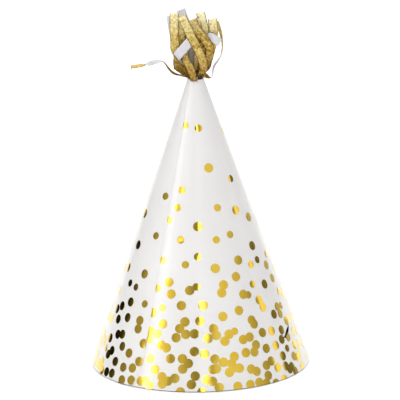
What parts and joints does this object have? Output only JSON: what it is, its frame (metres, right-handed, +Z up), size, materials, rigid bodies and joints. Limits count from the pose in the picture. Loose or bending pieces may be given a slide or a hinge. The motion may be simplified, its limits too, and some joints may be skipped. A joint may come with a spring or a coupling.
{
  "type": "cone party hat",
  "caption": "Rolled white card cone hat scattered with gold foil dots, with a tuft of gold and white film streamers in its open tip.",
  "frame": {"origin": "centre of the brim's circle, on the surface that the hat stands on", "axes": "+Z up along the cone's axis, -Y the front, +X the wearer's left"},
  "size_m": [0.1271, 0.1272, 0.2061],
  "materials": {
    "white_card": "coated, semi-gloss",
    "gold_foil": "mirror-like hot-stamped foil",
    "gold_film": "metallic gold glitter on one face, satin white on the other",
    "thread": "matt twisted thread",
    "glue": "clear hot-melt"
  },
  "bodies": {
    "hat": {"cone_sheet": "white_card", "seam_glue_strip": "glue", "tip_glue": "glue", "binding_thread": "thread", "streamer_roots": "gold_film", "foil_dots_front": "gold_foil", "foil_dots_front_right": "gold_foil", "foil_dots_back_right": "gold_foil", "foil_dots_back": "gold_foil", "foil_dots_back_left": "gold_foil", "foil_dots_front_left": "gold_foil", "streamer_v_fold": "gold_film", "streamer_folded_left": "gold_film", "streamer_front_right": "gold_film", "streamer_inner_right": "gold_film", "streamer_left": "gold_film", "streamer_arched": "gold_film", "streamer_mid_right": "gold_film", "streamer_right": "gold_film", "streamer_white_inner": "gold_film", "streamer_left_behind": "gold_film", "streamer_white_top": "gold_film", "streamer_white_right": "gold_film", "streamer_back_middle": "gold_film", "streamer_back_inner": "gold_film"},
    "swing_streamer_front": {"streamer_front": "gold_film"},
    "swing_streamer_long_left": {"streamer_long_left": "gold_film"},
    "swing_streamer_right_bow": {"streamer_right_bow": "gold_film"},
    "swing_streamer_back_left": {"streamer_back_left": "gold_film"},
    "swing_streamer_back_right": {"streamer_back_right": "gold_film"},
    "swing_streamer_back": {"streamer_back": "gold_film"}
  },
  "joints": [
    {"name": "streamer_front_swing", "type": "hinge", "parent": "hat", "child": "swing_streamer_front", "pos_m": [0.0016, -0.00275, 0.1688], "axis": [1, 0, 0], "range_deg": [0, 25], "stiffness_Nm_per_rad": 0.0003},
    {"name": "streamer_long_left_swing", "type": "hinge", "parent": "hat", "child": "swing_streamer_long_left", "pos_m": [-0.009, -0.0033, 0.1688], "axis": [0, -1, 0], "range_deg": [0, 30], "stiffness_Nm_per_rad": 0.0003},
    {"name": "streamer_right_bow_swing", "type": "hinge", "parent": "hat", "child": "swing_streamer_right_bow", "pos_m": [0.0095, 0.0012, 0.1674], "axis": [0, 1, 0], "range_deg": [0, 25], "stiffness_Nm_per_rad": 0.0003},
    {"name": "streamer_back_left_swing", "type": "hinge", "parent": "hat", "child": "swing_streamer_back_left", "pos_m": [-0.0006, 0.0017, 0.1682], "axis": [0, -1, 0], "range_deg": [0, 20], "stiffness_Nm_per_rad": 0.0003},
    {"name": "streamer_back_right_swing", "type": "hinge", "parent": "hat", "child": "swing_streamer_back_right", "pos_m": [0.0007, 0.00235, 0.1682], "axis": [0, 1, 0], "range_deg": [0, 20], "stiffness_Nm_per_rad": 0.0003},
    {"name": "streamer_back_swing", "type": "hinge", "parent": "hat", "child": "swing_streamer_back", "pos_m": [0.0002, 0.0031, 0.1682], "axis": [-1, 0, 0], "range_deg": [0, 25], "stiffness_Nm_per_rad": 0.0003}
  ]
}
